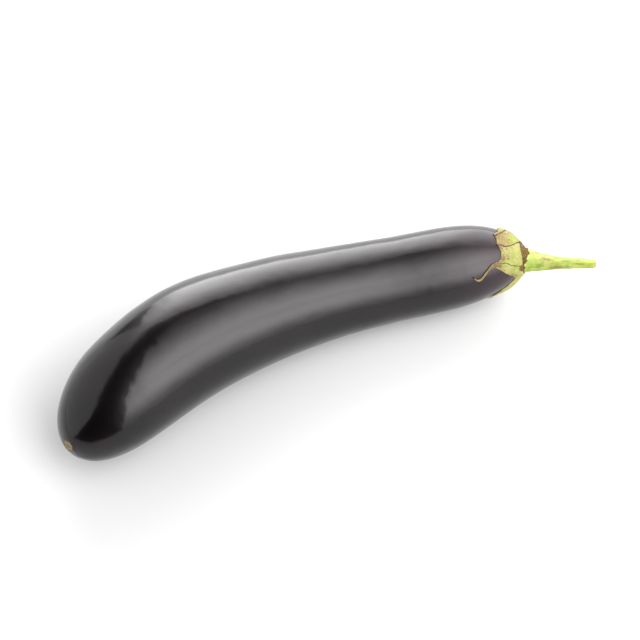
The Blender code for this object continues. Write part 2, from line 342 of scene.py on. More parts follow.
# %% [markdown]
# ## The fruit, swept along its middle line
# The fruit could be sculpted, or lofted ring by ring in code. A small Geometry Nodes tree
# suits it better, because the shape follows a rule: the middle line is a curve whose points
# carry the radius, and the tree wraps a round section along it. The tree then lets the skin
# swell and dip very slightly, stretched lengthwise as real fruit is, which makes the
# highlights wander instead of running dead straight. The same tree makes the ribbed stem.

# %% A tree that wraps a round section along a line
# Points nearer than this are merged, which closes the two ends of a tube.
WELD = 0.002 * MM


class Tree:
    """A Geometry Nodes tree under construction, with named inputs."""

    def __init__(self, name, inputs):
        self.tree = bpy.data.node_groups.new(name, "GeometryNodeTree")
        face = self.tree.interface
        face.new_socket("Geometry", in_out="INPUT", socket_type="NodeSocketGeometry")
        face.new_socket("Geometry", in_out="OUTPUT", socket_type="NodeSocketGeometry")
        self.identifiers = {}
        for label, kind in inputs.items():
            socket = face.new_socket(label, in_out="INPUT", socket_type="NodeSocket" + kind)
            self.identifiers[label] = socket.identifier
        self.inputs = self.tree.nodes.new("NodeGroupInput").outputs

    def add(self, kind, result=0, settings=(), **wires):
        """Adds a node, sets it up and wires it; returns the chosen output."""
        node = self.tree.nodes.new(kind)
        for name, value in dict(settings).items():
            setattr(node, name, value)
        for name, value in wires.items():
            socket = node.inputs[int(name[1:]) if name[1:].isdigit() else name.replace("_", " ")]
            if isinstance(value, bpy.types.NodeSocket):
                self.tree.links.new(value, socket)
            else:
                socket.default_value = value
        return node.outputs[result]

    def maths(self, operation, first, second=0.0):
        return self.add("ShaderNodeMath", settings={"operation": operation}, i0=first, i1=second)

    def store(self, geometry, name, value):
        """Stores a number on every point, to be read back by its name."""
        return self.add("GeometryNodeStoreNamedAttribute", settings={"domain": "POINT"},
                        Geometry=geometry, Name=name, Value=value)

    def finish(self, geometry, material):
        """Ends the tree: real geometry only, with its material."""
        real = self.add("GeometryNodeRealizeInstances", Geometry=geometry)
        painted = self.add("GeometryNodeSetMaterial", Geometry=real, Material=material)
        output = self.tree.nodes.new("NodeGroupOutput")
        self.tree.links.new(painted, output.inputs[0])


def wrap_tree():
    """Wraps a round section along a line, with ribs and soft swells on its side."""
    build = Tree("wrap_round_section", {
        "Sides": "Int", "Ribs": "Float", "Rib height": "Float", "Swell height": "Float",
        "Swell length": "Float", "Swells around": "Float", "Seed": "Float",
        "Ground": "Float", "Finish": "Material"})
    given = build.inputs
    length = build.add("GeometryNodeSplineParameter", result="Length")
    line = build.store(given["Geometry"], "along", length)
    line = build.add("GeometryNodeSetCurveNormal", settings={"mode": "Z_UP"}, Curve=line)
    circle = build.add("GeometryNodeCurvePrimitiveCircle", Resolution=given["Sides"], Radius=1.0)
    around = build.add("GeometryNodeSplineParameter", result="Factor")
    circle = build.store(circle, "around", around)
    radius = build.add("GeometryNodeInputRadius")
    tube = build.add("GeometryNodeCurveToMesh", Curve=line, i1=circle, Scale=radius)
    tube = build.add("GeometryNodeMergeByDistance", Geometry=tube, Distance=WELD)
    share = build.add("GeometryNodeInputNamedAttribute", Name="around")
    travelled = build.add("GeometryNodeInputNamedAttribute", Name="along")
    angle = build.maths("MULTIPLY", share, 2.0 * pi)
    ridges = build.maths("COSINE", build.maths("MULTIPLY", angle, given["Ribs"]))
    ridges = build.maths("MULTIPLY", ridges, given["Rib height"])
    spread = given["Swells around"]
    place = build.add(
        "ShaderNodeCombineXYZ",
        X=build.maths("DIVIDE", travelled, given["Swell length"]),
        Y=build.maths("ADD", build.maths("MULTIPLY", build.maths("COSINE", angle), spread),
                      given["Seed"]),
        Z=build.maths("MULTIPLY", build.maths("SINE", angle), spread))
    swell = build.add("ShaderNodeTexNoise", Vector=place, Scale=1.0, Detail=2.5, Roughness=0.45)
    swell = build.maths("MULTIPLY", build.maths("SUBTRACT", swell, 0.5), given["Swell height"])
    height = build.maths("ADD", ridges, swell)
    outwards = build.add("GeometryNodeInputNormal")
    offset = build.add("ShaderNodeVectorMath", settings={"operation": "SCALE"},
                       i0=outwards, i3=height)
    tube = build.add("GeometryNodeSetPosition", Geometry=tube, Offset=offset)
    parts = build.tree.nodes.new("ShaderNodeSeparateXYZ")
    build.tree.links.new(build.add("GeometryNodeInputPosition"), parts.inputs[0])
    pressed = build.add("ShaderNodeCombineXYZ", X=parts.outputs[0], Y=parts.outputs[1],
                        Z=build.maths("MAXIMUM", parts.outputs[2], given["Ground"]))
    tube = build.add("GeometryNodeSetPosition", Geometry=tube, Position=pressed)
    build.finish(tube, given["Finish"])
    return build


wrapping = wrap_tree()
print("tree inputs:", list(wrapping.identifiers))

# %% Run the tree on a line and keep a plain mesh


def in_scene(name, data):
    """A new object at the origin that shows a mesh, a curve, a light or a camera."""
    thing = bpy.data.objects.new(name, data)
    bpy.context.scene.collection.objects.link(thing)
    return thing


def line_object(name, points, radii):
    """A curve through the points, which carries a radius at each."""
    curve = bpy.data.curves.new(name, "CURVE")
    curve.dimensions = "3D"
    spline = curve.splines.new("POLY")
    spline.points.add(len(points) - 1)
    for knot, point, radius in zip(spline.points, points, radii):
        knot.co = (*point, 1.0)
        knot.radius = radius
    return in_scene(name, curve)


def run_tree(source, build, name, **values):
    """Sets the tree's inputs, evaluates it and returns the result as a plain mesh object."""
    modifier = source.modifiers.new("wrap", "NODES")
    modifier.node_group = build.tree
    for label, value in values.items():
        modifier[build.identifiers[label.replace("_", " ")]] = value
    bpy.context.view_layer.update()
    depsgraph = bpy.context.evaluated_depsgraph_get()
    mesh = bpy.data.meshes.new_from_object(source.evaluated_get(depsgraph))
    mesh.name = name
    bpy.data.objects.remove(source, do_unlink=True)
    return in_scene(name, mesh)


def points_of(mesh, kind="co"):
    """One row for each point of the mesh: its place ("co") or its normal ("normal")."""
    flat = np.zeros(len(mesh.vertices) * 3)
    mesh.vertices.foreach_get(kind, flat)
    return flat.reshape(-1, 3)


def move_points(mesh, points):
    mesh.vertices.foreach_set("co", points.ravel())
    mesh.update()


def read_mask(mesh, name):
    values = np.zeros(len(mesh.vertices))
    mesh.attributes[name].data.foreach_get("value", values)
    return values


def store_masks(mesh, **masks):
    """Stores numbers on the points of the mesh, each set under its own name."""
    for name, values in masks.items():
        mesh.attributes.new(name, "FLOAT", "POINT").data.foreach_set("value", values)


# %% Make the fruit
FRUIT_RINGS = 300
FRUIT_SIDES = 176
turns = np.linspace(0.0, pi, FRUIT_RINGS)
ring_places = FRUIT_LENGTH * 0.5 * (1.0 - np.cos(turns))
fruit_line = line_object("fruit_line", middle_at(ring_places), fruit_radius(ring_places))
fruit = run_tree(
    fruit_line, wrapping, "eggplant_fruit",
    Sides=FRUIT_SIDES, Ribs=0.0, Rib_height=0.0, Swell_height=0.55 * MM,
    Swell_length=30.0 * MM, Swells_around=0.8, Seed=4.0, Ground=0.0, Finish=skin_material)
print("fruit:", len(fruit.data.vertices), "points,", len(fruit.data.polygons), "faces")

# %% [markdown]
# ## Marks on the fruit
# No fruit is a perfect sweep. A shallow fullness runs along one flank, and the blossom left
# an oval corky scar, a little off the middle of the end. Both are moved into the mesh rather
# than only painted, so they still show in a plain view of the shape. The same step stores
# the masks that the skin's finish reads.

# %% Swell one flank
# (distance along, angle from up towards -Y, length, angle width, height)
FULLNESSES = (
    (78.0 * MM, radians(-60.0), 15.0 * MM, radians(32.0), 0.8 * MM),
    (47.0 * MM, radians(-62.0), 9.0 * MM, radians(30.0), -0.45 * MM),
    (112.0 * MM, radians(-60.0), 11.0 * MM, radians(30.0), -0.35 * MM),
    (168.0 * MM, radians(-58.0), 16.0 * MM, radians(32.0), 0.40 * MM),
)


def bell(distance):
    """1 at the middle, falling away softly on both sides, a little over a third at 1."""
    return np.exp(-distance ** 2)


def wrapped(angle):
    """The same angle, between -pi and pi."""
    return (angle + pi) % (2.0 * pi) - pi


def places_on_fruit(mesh):
    """How far along the fruit each point lies, and its angle round the middle line."""
    along = read_mask(mesh, "along")
    along *= FRUIT_LENGTH / along.max()
    forward, side, up = directions_at(along)
    spoke = points_of(mesh) - middle_at(along)
    spoke -= forward * np.sum(spoke * forward, axis=1)[:, None]
    return along, np.arctan2(np.sum(spoke * side, axis=1), np.sum(spoke * up, axis=1))


def fullness_at(along, angle):
    """How far the flank swells out, or sinks in, at each point."""
    rise = np.zeros(len(along))
    for centre, turn, length, width, height in FULLNESSES:
        rise += height * bell((along - centre) / length) * bell(wrapped(angle - turn) / width)
    return rise


# %% Press in the scar and store the masks
SCAR_ANGLE = radians(-60.0)
SCAR_AT = 1.3 * MM
SCAR_LONG = 3.5 * MM
SCAR_WIDE = 2.5 * MM
SCAR_DEPTH = 0.25 * MM
SCAR_ROUGHNESS = 0.09 * MM
SCAR_CRUMBS = 1.1 * MM
SCAR_FRAY = 0.16
# The plum blush next to the calyx: (distance over which it fades, strength).
BLUSHES = ((26.0 * MM, 0.9), (60.0 * MM, 0.16))


def shape_of_noise(points, size, octaves=3, seed=0.0):
    """Soft noise between about -1 and 1 at each point, with lumps about size across."""
    shift = Vector((seed, 0.7 * seed, -1.3 * seed))
    return np.array([noise.fractal(Vector(point) / size + shift, 1.0, 2.0, octaves)
                     for point in points])


def distance_from_scar(points):
    """(distance from the heart of the scar, where its frayed rim is at 1; its crumbs)."""
    heart = skin_at(np.array([SCAR_AT]), np.array([SCAR_ANGLE]))[0]
    across = unit(np.cross(directions_at(SCAR_AT)[0], heart - middle_at(0.0)))
    away = points - heart
    sideways = away @ across
    lengthwise = np.sqrt(np.maximum(np.sum(away * away, axis=1) - sideways ** 2, 0.0))
    distance = np.hypot(sideways / SCAR_LONG, lengthwise / SCAR_WIDE)
    near = distance < 2.0
    crumbs = np.zeros(len(points))
    crumbs[near] = shape_of_noise(points[near], SCAR_CRUMBS, 3, seed=3.0)
    return distance + SCAR_FRAY * crumbs, crumbs


def finish_fruit(mesh):
    along, angle = places_on_fruit(mesh)
    points = points_of(mesh)
    from_scar, crumbs = distance_from_scar(points)
    scar = ease((1.12 - from_scar) / 0.20)
    rim = bell((from_scar - 1.0) / 0.16)
    rise = fullness_at(along, angle)
    rise += SCAR_DEPTH * (0.7 * rim - scar) + SCAR_ROUGHNESS * crumbs * scar
    points = points + points_of(mesh, "normal") * rise[:, None]
    points[:, 2] = np.maximum(points[:, 2], 0.0)
    move_points(mesh, points)
    crown = FRUIT_LENGTH - along
    plum = sum(bell(crown / length) * strength for length, strength in BLUSHES)
    store_masks(mesh, plum=plum, scar=scar, scar_heart=ease((0.55 - from_scar) / 0.35))
    mesh.attributes.remove(mesh.attributes["around"])
    mesh.shade_smooth()
    print("fruit, low and high corner in mm:", in_mm((points.min(0), points.max(0))))


finish_fruit(fruit.data)

# %% [markdown]
# ## The calyx
# The calyx is what is left of the flower: a leathery cap with pointed lobes. It is fleshy
# and green near the stem and dries out to thin tan parchment at the edges, where it splits,
# curls off the skin and turns brown. It is made as two grids wrapped over the shoulder, an
# outer and an inner face joined along both edges, so its thickness can run out towards the
# rim. Ribs, wrinkles and splits are pushed into the outer grid.

# %% The calyx's outline and its cracks
CALYX_TURN = radians(30.0)
CALYX_START = 3.6 * MM
# The edge of the calyx: (angle round the fruit in degrees, distance from the crown in mm).
CALYX_EDGE = (
    (-60, 21.6), (-55, 22.8), (-50, 24.1), (-46, 23.5), (-40, 22.8), (-32, 22.7), (-24, 21.9),
    (-16, 20.7), (-6, 20.4), (0, 21.4), (4, 23.2), (8, 24.8), (12, 24.3), (15, 22.3),
    (18, 20.6), (24, 17.9), (30, 15.8), (36, 13.6), (42, 12.0), (52, 10.6), (61, 10.0),
    (66, 11.6), (72, 14.6), (77, 18.2), (81, 22.0), (84, 25.4), (87, 28.5), (91, 26.4),
    (98, 22.2), (108, 18.0), (120, 15.0), (131, 17.8), (142, 20.5), (150, 23.4), (157, 26.4),
    (162, 24.3), (172, 21.0), (182, 18.0), (193, 15.6), (204, 18.2), (216, 21.3), (225, 24.6),
    (232, 27.2), (238, 24.6), (246, 21.2), (254, 18.0), (261, 16.0), (268, 17.8), (276, 20.4),
    (285, 21.6), (292, 21.7),
)
LOBE_TIPS = (-50, 9, 87, 157, 232)
# How fleshy the cap is: (angle in degrees, thickness of its flesh in mm, where it thins out).
CALYX_FLESH = ((-100, 1.50, 0.80), (-84, 1.70, 1.02), (-66, 1.45, 0.95), (-45, 0.95, 0.75),
               (-20, 0.75, 0.72), (30, 0.62, 0.72), (62, 0.85, 0.72), (88, 1.30, 0.72),
               (120, 1.30, 0.72), (190, 1.10, 0.72))
# How far the corky ring reaches down the cap: (angle in degrees, distance in mm).
RING_EDGE = ((-110, 7.0), (-88, 9.8), (-68, 11.6), (-56, 11.5), (-46, 11.2), (-34, 9.8),
             (-22, 8.6), (-8, 7.5), (8, 7.1), (16, 8.8), (24, 9.6), (33, 7.8), (44, 5.4),
             (70, 4.6), (150, 5.2), (200, 6.6), (225, 5.4))
# Splits and folds: the points of each (angle in degrees, distance in mm), then its width in
# mm, its depth in mm and how dark it is painted: the brown of the split, with painted shade
# of its groove.
SPLITS = (
    (((-26, 23.4), (-27, 22.0), (-29, 20.5), (-27, 18.6), (-30, 16.4), (-39, 14.1), (-50, 12.4),
      (-64, 10.6)), 0.27, 0.36, 1.0),
    (((8, 23.6), (7, 21.4), (6, 19.4), (5, 17.7), (8, 15.6), (11, 13.9), (11, 11.8), (13, 9.9),
      (15, 7.4)), 0.20, 0.22, 0.85),
    (((-43, 24.0), (-48, 22.6), (-54, 21.2), (-62, 19.8), (-72, 18.6), (-84, 17.6), (-96, 16.2)),
     0.36, 0.36, 1.0),
    (((128, 17.5), (124, 13.0), (112, 9.0)), 0.30, 0.32, 0.9),
    (((196, 16.5), (190, 12.0), (176, 8.6)), 0.30, 0.34, 0.9),
    (((160, 25.0), (152, 18.0), (150, 11.0)), 0.22, 0.22, 0.8),
    (((233, 26.0), (240, 19.0), (236, 12.0)), 0.22, 0.22, 0.8),
    (((270, 17.0), (262, 12.0), (250, 8.4)), 0.30, 0.34, 0.9),
)
CALYX_AROUND = 600
CALYX_ALONG = 70


def over_angles(rows, degrees):
    """Reads the columns of a table of (angle, value, ...) at other angles, in degrees."""
    angles, *columns = np.transpose(rows)
    return [np.interp(degrees, angles, column, period=360.0) for column in columns]


def calyx_reach(degrees):
    """How far the calyx reaches from the crown, along the skin, at angles in degrees."""
    return over_angles(CALYX_EDGE, degrees)[0] * MM


def add_up_skin():
    """Distances along the skin from the crown, for the stations counted from the crown."""
    back = STATIONS[::-1]
    rise = np.diff(fruit_radius(back))
    return np.concatenate([[0.0], np.cumsum(np.hypot(rise, STEP))]), back


SKIN_REACH, SKIN_ALONG = add_up_skin()


def shoulder_at(reach, degrees, height=0.0):
    """Points over the shoulder: distance from the crown, angle in degrees, height."""
    along = np.interp(reach, SKIN_REACH, SKIN_ALONG)
    return skin_at(along, CALYX_TURN + np.radians(degrees), height)


def distance_to_path(points, path):
    """Distance from each point to a chain of straight stretches."""
    nearest = np.full(len(points), np.inf)
    for start, end in zip(path[:-1], path[1:]):
        way = end - start
        share = np.clip((points - start) @ way / (way @ way), 0.0, 1.0)
        gap = np.linalg.norm(points - start - share[:, None] * way, axis=1)
        nearest = np.minimum(nearest, gap)
    return nearest


reaches = [reach for _, reach in CALYX_EDGE]
print("calyx reaches", min(reaches), "to", max(reaches), "mm down the shoulder")

# %% [markdown]
# ## Relief on the calyx
# The heights are plain sums, each with one cause: a fillet where the cap turns up into the
# stem, a rib down the middle of each lobe, fine veins that fan out, dry wrinkles that grow
# towards the edge, the splits, and a corky ring that cracked as the stem thickened. The
# underside gets only the lift of the drying edge, so thickness is the difference.

# %% The calyx's two grids, its lobes and its cracks
# The lobe on top dried in an arch and stands off the skin.
ARCH_ANGLE = radians(-84.0)
ARCH_SPREAD = radians(17.0)
ARCH_HEIGHT = 0.75 * MM
EDGE_FRAY = 0.55 * MM
RIB_WIDTH = 1.1 * MM
CURL_WIDTH = 2.0 * MM


def round_circle(degrees, radius, third):
    """Places on a circle, so that noise read there closes on itself."""
    turn = np.radians(degrees)
    return np.stack([np.cos(turn) * radius, np.sin(turn) * radius, third], axis=1)


def die_away(distance, length):
    """1 up to distance 0, then less and less."""
    return np.exp(-np.maximum(distance, 0.0) / length)


def calyx_surface(seed):
    """(share of the way to the edge, angle, distance from the crown) for each point."""
    degrees = np.arange(CALYX_AROUND) * 360.0 / CALYX_AROUND
    ragged = shape_of_noise(round_circle(degrees, 1.0, 0.0 * degrees), 0.055, 4, seed=seed)
    reach_at_edge = calyx_reach(degrees) + EDGE_FRAY * ragged
    share = np.linspace(0.0, 1.0, CALYX_ALONG) ** 0.9
    share, degrees = np.meshgrid(share, degrees, indexing="ij")
    reach = CALYX_START + (reach_at_edge[None, :] - CALYX_START) * share
    return share.ravel(), degrees.ravel(), reach.ravel()


def lobe_relief(share, degrees, reach):
    """(rib down the middle of each lobe, curl of its tip), from 0 to about 1."""
    ribs = np.zeros(len(share))
    curl = np.zeros(len(share))
    for tip in LOBE_TIPS:
        off = wrapped(np.radians(degrees - tip)) * np.maximum(reach, 6.0 * MM)
        ribs += bell(off / RIB_WIDTH) * ease((share - 0.1) * 3.0)
        curl += bell(off / CURL_WIDTH) * die_away((calyx_reach(tip) - reach) / MM, 1.6)
    return ribs, curl


def cracks(skin, wrinkles):
    """(how dark each point is painted near the splits, brown of the split with painted shade in
    its groove; how deep it has sunk in mm).
    """
    dark = np.zeros(len(skin))
    sunk = np.zeros(len(skin))
    for path, width, depth, brown_and_shade in SPLITS:
        knots = np.array(path, dtype=float)
        fine = np.linspace(0.0, 1.0, 24)
        at = np.linspace(0.0, 1.0, len(knots))
        line = shoulder_at(np.interp(fine, at, knots[:, 1]) * MM, np.interp(fine, at, knots[:, 0]))
        gap = np.abs(distance_to_path(skin, line) / MM + 0.16 * wrinkles)
        groove = bell(gap / width)
        raised = 0.35 * depth * bell((gap - 1.7 * width) / (0.8 * width))
        # Darkens the split: the brown of the split tissue, and painted shade where the groove is.
        dark = np.maximum(dark, np.exp(-(gap / (1.35 * width)) ** 4) * brown_and_shade)
        sunk = np.minimum(sunk, raised * (1.0 - groove) - depth * groove)
        sunk = np.where(raised > np.abs(sunk), raised, sunk)
    return dark, sunk


# %% Heights of the calyx's two faces
SHEET_THICKNESS = 0.16
THINNEST = 0.14 * MM
FILLET_HEIGHT = 0.4 * MM
FILLET_REACH = 5.2 * MM
VEIN_HEIGHT = 0.07 * MM
RIB_HEIGHT = 0.22 * MM
CURL_HEIGHT = 0.34 * MM
LUMP_HEIGHT = 0.18 * MM
CRACK_DEPTH = 0.8 * MM


def calyx_heights(share, degrees, reach):
    """(height of the outer face, height of the inner face, masks) off the skin."""
    skin = shoulder_at(reach, degrees)
    to_edge = (calyx_reach(degrees) - reach) / MM
    dry_edge = die_away(to_edge, 1.3)
    veins = shape_of_noise(round_circle(degrees, 8.0 * MM, reach * 0.16), 0.62 * MM, 2, seed=5.0)
    wrinkles = shape_of_noise(skin, 1.5 * MM, 3, seed=9.0)
    lumps = shape_of_noise(skin, 4.5 * MM, 2, seed=2.0)
    ribs, curl = lobe_relief(share, degrees, reach)
    split, sunk = cracks(skin, wrinkles)
    ring_edge = over_angles(RING_EDGE, degrees)[0] + 0.7 * lumps + 0.5 * wrinkles
    ring = ease((ring_edge - reach / MM) / 0.9)

    arch = bell(wrapped(np.radians(degrees) - ARCH_ANGLE) / ARCH_SPREAD)
    lift = 0.04 * MM + (0.03 + 0.12 * np.maximum(lumps, 0.0)) * dry_edge * MM
    lift += CURL_HEIGHT * curl + ARCH_HEIGHT * arch * ease((share - 0.35) / 0.5)

    flesh, thinned = over_angles(CALYX_FLESH, degrees)
    outer = lift + (SHEET_THICKNESS + flesh * (1.0 - ease((share - 0.30) / thinned))) * MM
    outer += FILLET_HEIGHT * die_away(reach - FILLET_REACH, 1.2 * MM)
    outer += VEIN_HEIGHT * veins * (1.0 - 0.5 * ring)
    outer += (0.10 + 0.10 * dry_edge) * MM * wrinkles + LUMP_HEIGHT * lumps
    outer += RIB_HEIGHT * ribs * (1.0 - dry_edge) + CRACK_DEPTH * sunk * (1.0 - 0.4 * dry_edge)
    outer += ring * (0.12 + 0.22 * wrinkles) * MM
    outer = np.maximum(outer, lift + THINNEST)

    patches = np.clip(0.5 + 0.9 * lumps + 0.35 * wrinkles, 0.0, 1.0)
    facing = bell(wrapped(np.radians(degrees + 45.0)) / 0.55)
    dry = ease((share - 0.42) / 0.5) * (0.30 + 0.55 * patches) + 0.35 * facing * ease(share * 1.6)
    rim = die_away(to_edge, 0.34) + 0.2 * curl
    masks = {"dry": np.clip(dry, 0.0, 1.0), "split": split, "ring": ring,
             "rim": np.clip(rim, 0.0, 1.0)}
    return outer, lift, masks


# %% [markdown]
# ## The calyx's finish
# Three colours do most of the work: the fresh yellow green, the tan of the dried parts and
# the dark brown of cork and splits; in the splits that dark is partly painted shade of the
# groove. The stored masks say roughly where each belongs, and noise breaks up their borders.
# Fine dark flecks and faint veins sit on top. The surface is dull, with a slight sheen where it is
# still green.

# %% The finish of the green parts
LEAF_GREEN = (0.235, 0.270, 0.038)
LEAF_PALE = (0.320, 0.305, 0.100)
LEAF_DEEP = (0.080, 0.105, 0.016)
DRY_TAN = (0.225, 0.158, 0.064)
DRY_BROWN = (0.070, 0.036, 0.014)
CORK_BROWN = (0.074, 0.036, 0.013)
CORK_PALE = (0.190, 0.110, 0.040)
# Colour inside the splits: the brown of split tissue, made darker still as painted shade of the
# groove.
SPLIT_BROWN_AND_SHADE = (0.036, 0.018, 0.008)
CALYX_RELIEF = ((0.55 * MM, 4.0, 0.70, 0.10 * MM), (0.22 * MM, 2.0, 0.55, 0.03 * MM))


def cork(finish):
    """The colour of the cracked ring, the same on the calyx and on the stem."""
    return finish.cover(CORK_BROWN, CORK_PALE, finish.grain(0.6 * MM, 4.0, 0.7), 0.45, 0.65)


def calyx_finish():
    finish = Finish("leathery_calyx")
    fine = finish.grain(0.8 * MM, 4.0, 0.65)
    colour = finish.cover(LEAF_GREEN, LEAF_PALE, finish.grain(4.2 * MM), 0.38, 0.62)
    colour = finish.cover(colour, LEAF_DEEP, fine, 0.50, 0.78, 0.55)
    dry = finish.between(finish.frayed("dry", fine, 0.35), 0.35, 0.85)
    tan = finish.cover(DRY_TAN, DRY_BROWN, finish.grain(1.6 * MM, 4.0, 0.7), 0.50, 0.74)
    colour = finish.mix(dry, colour, tan)
    fleck = finish.flecks(0.80 * MM, 0.85, 2.5 * MM, 0.42, 0.56)
    colour = finish.mix(fleck, colour, DRY_BROWN)
    crackle = finish.maths("SUBTRACT", finish.grain(2.2 * MM, 3.0, 0.6), 0.5)
    crackle = finish.between(finish.maths("ABSOLUTE", crackle), 0.0, 0.014, 0.75, 0.0)
    crackle = finish.maths("MULTIPLY", crackle, finish.between(finish.grain(5.0 * MM), 0.46, 0.56))
    colour = finish.mix(crackle, colour, DRY_BROWN)
    colour = finish.cover(colour, DRY_BROWN, finish.frayed("rim", fine, 0.30), 0.35, 0.85, 0.6)
    ring = finish.frayed("ring", fine, 0.42)
    colour = finish.cover(colour, cork(finish), ring, 0.45, 0.75, 0.96)
    # Splits: dark brown of the split tissue, with painted shade of the groove on top.
    colour = finish.cover(colour, SPLIT_BROWN_AND_SHADE, finish.frayed("split", fine, 0.30), 0.35, 0.85, 0.90)
    finish.surface(
        Base_Color=colour,
        Roughness=finish.between(dry, 0.0, 1.0, 0.48, 0.72),
        Normal=finish.relief(CALYX_RELIEF),
        Specular_IOR_Level=finish.between(ring, 0.3, 0.6, 0.35, 0.12),
    )
    return finish.material


calyx_material = calyx_finish()
print("finish made:", calyx_material.name)

# %% Make the calyx


def face_outwards(mesh):
    """Turns every face of a closed mesh to point outwards."""
    bm = bmesh.new()
    bm.from_mesh(mesh)
    bmesh.ops.recalc_face_normals(bm, faces=bm.faces)
    volume = bm.calc_volume(signed=True)
    if volume < 0.0:
        bmesh.ops.reverse_faces(bm, faces=bm.faces)
    open_edges = sum(1 for edge in bm.edges if len(edge.link_faces) != 2)
    bm.to_mesh(mesh)
    bm.free()
    print(mesh.name, "volume in cm3:", round(abs(volume) * 1e6, 3), "open edges:", open_edges)


def closed_skin(name, points, faces, masks, material):
    """A smooth closed piece from plain lists of points and faces."""
    mesh = bpy.data.meshes.new(name)
    mesh.from_pydata(points.tolist(), [], faces)
    store_masks(mesh, **masks)
    mesh.materials.append(material)
    mesh.shade_smooth()
    face_outwards(mesh)
    return in_scene(name, mesh)


def sheet_faces(around, along):
    """Faces of two closed grids of points, one over the other, joined at both edges."""
    count = around * along
    rows = np.arange(along - 1)[:, None] * around
    here = np.arange(around)
    after = (here + 1) % around
    quads = np.stack([rows + here, rows + after, rows + around + after, rows + around + here],
                     axis=-1).reshape(-1, 4)
    last = (along - 1) * around
    rim = np.stack([last + here, last + after, count + last + after, count + last + here], axis=1)
    bore = np.stack([after, here, count + here, count + after], axis=1)
    return np.concatenate([quads, (quads + count)[:, ::-1], rim, bore]).tolist()


share, degrees, reach = calyx_surface(seed=1.7)
outer_height, inner_height, calyx_masks = calyx_heights(share, degrees, reach)
both_faces = np.concatenate([shoulder_at(reach, degrees, height)
                             for height in (outer_height, inner_height)])
calyx = closed_skin(
    "eggplant_calyx", both_faces, sheet_faces(CALYX_AROUND, CALYX_ALONG),
    {mask: np.tile(values, 2) for mask, values in calyx_masks.items()}, calyx_material)
thickness = (outer_height - inner_height) / MM
print("calyx thickness in mm:", round(thickness.min(), 2), "to", round(thickness.max(), 2))

# %% [markdown]
# ## The withered tail
# One lobe ran out into a thin strip that dried, folded along its middle and curled away over
# the skin, with a small hook at its tip. It is a sweep like the stem, but its section is a
# folded leaf instead of a circle, and it narrows and rolls over on the way. It is short, so
# it is laid out ring by ring in code.

# %% Make the tail
# Its route: (angle in degrees, distance from the crown, lift, half width, roll in degrees).
TAIL_ROUTE = (
    (8.0, 20.5, 0.20, 1.70, 0.0),
    (7.5, 22.6, 0.25, 1.35, 4.0),
    (8.5, 24.6, 0.30, 1.15, 10.0),
    (11.2, 26.8, 0.28, 0.92, 22.0),
    (15.6, 28.6, 0.22, 0.82, 30.0),
    (19.6, 30.4, 0.22, 0.76, 24.0),
    (24.4, 32.2, 0.25, 0.66, 12.0),
    (27.0, 34.2, 0.40, 0.52, -5.0),
    (25.6, 36.0, 0.85, 0.36, -25.0),
    (22.6, 37.2, 1.50, 0.26, -45.0),
    (20.6, 37.9, 2.00, 0.18, -50.0),
)
TAIL_THICKNESS = 0.15 * MM
TAIL_CRUMPLE = 0.18
TAIL_STEPS = 8
# The folded section, from edge to edge and back: (across, height) in half widths.
TAIL_SECTION = ((-1.0, -0.05), (-0.86, 0.22), (-0.55, 0.42), (-0.15, 0.62), (0.15, 0.60),
                (0.50, 0.30), (0.80, 0.12), (1.0, 0.16))


def smooth_rows(rows, steps):
    """Rows of numbers passed through smoothly (Catmull-Rom)."""
    rows = np.array(rows, dtype=float)
    padded = np.vstack([2 * rows[0] - rows[1], rows, 2 * rows[-1] - rows[-2]])
    made = []
    for a, b, c, d in zip(padded, padded[1:], padded[2:], padded[3:]):
        for t in np.linspace(0.0, 1.0, steps, endpoint=False):
            square = (2 * a - 5 * b + 4 * c - d) * t ** 2
            cube = (3 * b - a - 3 * c + d) * t ** 3
            made.append((2 * b + (c - a) * t + square + cube) / 2)
    return np.array(made + [rows[-1]])


def tail_rings(shape):
    """Points of the folded section at each step of the route, ring after ring."""
    degrees, reach, lift, width, roll = smooth_rows(TAIL_ROUTE, TAIL_STEPS).T
    centre = shoulder_at(reach * MM, degrees, lift * MM)
    above = unit(shoulder_at(reach * MM, degrees, lift * MM + MM) - centre)
    across = unit(np.cross(unit(np.gradient(centre, axis=0)), above))
    above = np.cross(across, unit(np.gradient(centre, axis=0)))
    roll = np.radians(roll)[:, None]
    turned = across * np.cos(roll) + above * np.sin(roll)
    lifted = above * np.cos(roll) - across * np.sin(roll)
    width = width * MM * (1.0 + TAIL_CRUMPLE * shape_of_noise(centre, 1.3 * MM, 2, seed=6.0))
    thickness = np.minimum(TAIL_THICKNESS, 0.35 * width)
    rings = []
    for i in range(len(centre)):
        top = [centre[i] + (turned[i] * x + lifted[i] * y) * width[i] for x, y in shape]
        rings.append(top + [point - lifted[i] * thickness[i] for point in top[::-1]])
    return np.array(rings)


def tube_faces(rings, section):
    """Faces between rings of points, and over both ends of the folded strip."""
    faces = []
    for base in range(0, (rings - 1) * section, section):
        for k in range(section):
            n = (k + 1) % section
            faces.append((base + k, base + n, base + section + n, base + section + k))
    last = (rings - 1) * section
    for k in range(section // 2 - 1):
        faces.append((k + 1, k, section - 1 - k, section - 2 - k))
        faces.append((last + k, last + k + 1, last + section - 2 - k, last + section - 1 - k))
    return faces


def make_tail():
    shape = smooth_rows(TAIL_SECTION, 3)
    rings = tail_rings(shape)
    count, section = rings.shape[:2]
    progress = np.repeat(np.linspace(0.0, 1.0, count), section)
    off_middle = np.tile(np.abs(np.concatenate([shape[:, 0], shape[::-1, 0]])), count)
    brown_fold = 0.95 * bell((off_middle - 0.35) / 0.30) * (1.0 - ease((progress - 0.35) / 0.35))
    masks = {"dry": 1.0 - 0.25 * progress, "rim": brown_fold,
             "ring": 0.0 * progress, "split": 0.0 * progress}
    return closed_skin("eggplant_calyx_tail", rings.reshape(-1, 3), tube_faces(count, section),
                       masks, calyx_material)


tail = make_tail()
print("tail:", len(tail.data.polygons), "faces")

